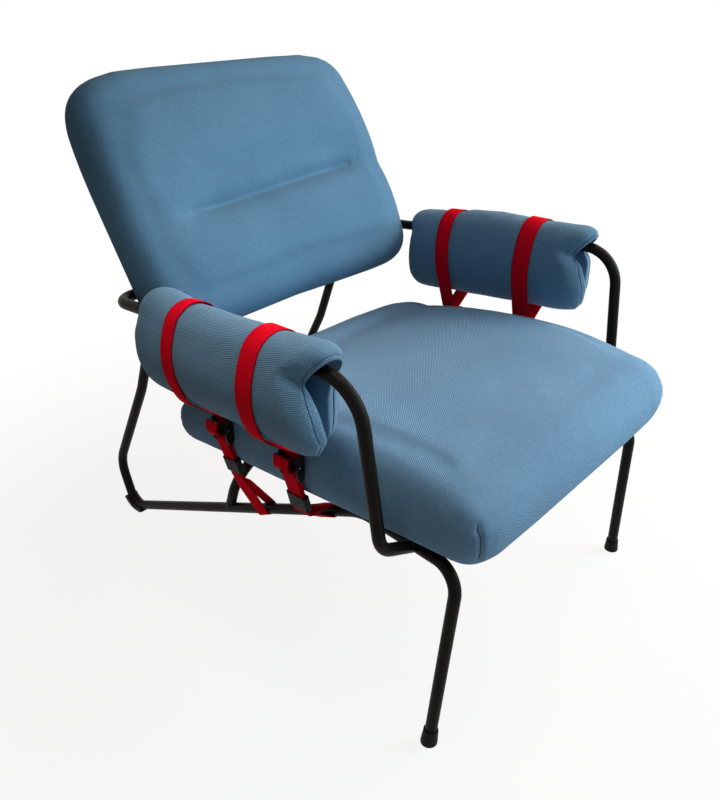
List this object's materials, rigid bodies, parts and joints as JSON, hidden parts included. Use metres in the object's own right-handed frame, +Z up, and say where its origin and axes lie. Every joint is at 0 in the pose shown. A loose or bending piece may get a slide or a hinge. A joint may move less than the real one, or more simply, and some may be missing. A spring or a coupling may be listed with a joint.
{
  "type": "lounge chair",
  "caption": "Low lounge chair: bent black steel tube frame, padded blue seat and back cushions, folded arm rolls strapped on with red webbing and cam buckles.",
  "frame": {"origin": "on the floor, under the middle of the bounding box", "axes": "+X to the right-hand side as seen from the front, +Y from the front of the chair to its back, +Z up"},
  "size_m": [0.7576, 0.8932, 0.8454],
  "materials": {
    "frame": "satin black powder coat",
    "glides": "matt black moulded",
    "upholstery": "blue ribbed woven cloth",
    "plywood": "sanded birch plywood",
    "webbing": "red woven webbing",
    "buckles": "black coated steel",
    "keepers": "matt black moulded",
    "screws": "zinc plated"
  },
  "bodies": {
    "chair": {"leg_rail_left": "frame", "leg_rail_right": "frame", "arm_tube": "frame", "front_cross_tube": "frame", "rear_seat_bow": "frame", "seat_tabs": "frame", "back_bracket_left": "frame", "back_bracket_right": "frame", "foot_cap_left": "glides", "foot_cap_right": "glides", "rear_glide_left": "glides", "rear_glide_right": "glides", "seat_cushion": "upholstery", "back_cushion": "upholstery", "arm_roll_left": "upholstery", "arm_roll_right": "upholstery", "seat_board": "plywood", "back_board": "plywood", "seat_screws": "screws", "back_screws": "screws", "buckle_pins": "screws", "strap_loop_left_front": "webbing", "strap_anchor_left_front": "webbing", "buckle_body_left_front": "buckles", "strap_keeper_left_front": "keepers", "strap_loop_left_rear": "webbing", "strap_anchor_left_rear": "webbing", "buckle_body_left_rear": "buckles", "strap_keeper_left_rear": "keepers", "strap_loop_right_front": "webbing", "strap_anchor_right_front": "webbing", "buckle_body_right_front": "buckles", "strap_keeper_right_front": "keepers", "strap_loop_right_rear": "webbing", "strap_anchor_right_rear": "webbing", "buckle_body_right_rear": "buckles", "strap_keeper_right_rear": "keepers"},
    "lever_left_front": {"buckle_lever_left_front": "buckles"},
    "lever_left_rear": {"buckle_lever_left_rear": "buckles"},
    "lever_right_front": {"buckle_lever_right_front": "buckles"},
    "lever_right_rear": {"buckle_lever_right_rear": "buckles"}
  },
  "joints": [
    {"name": "press_left_front", "type": "hinge", "parent": "chair", "child": "lever_left_front", "pos_m": [-0.30702, -0.14514, 0.37824], "axis": [0, 1, -0.0087], "range_deg": [0, 25], "stiffness_Nm_per_rad": 0.03, "springref_deg": -17.19},
    {"name": "press_left_rear", "type": "hinge", "parent": "chair", "child": "lever_left_rear", "pos_m": [-0.30074, 0.01358, 0.36984], "axis": [0, 0.9962, -0.0872], "range_deg": [0, 25], "stiffness_Nm_per_rad": 0.03, "springref_deg": -17.19},
    {"name": "press_right_front", "type": "hinge", "parent": "chair", "child": "lever_right_front", "pos_m": [0.30702, -0.14514, 0.37824], "axis": [0, -1, 0.0087], "range_deg": [0, 25], "stiffness_Nm_per_rad": 0.03, "springref_deg": -17.19},
    {"name": "press_right_rear", "type": "hinge", "parent": "chair", "child": "lever_right_rear", "pos_m": [0.30074, 0.01358, 0.36984], "axis": [0, -0.9962, 0.0872], "range_deg": [0, 25], "stiffness_Nm_per_rad": 0.03, "springref_deg": -17.19}
  ]
}
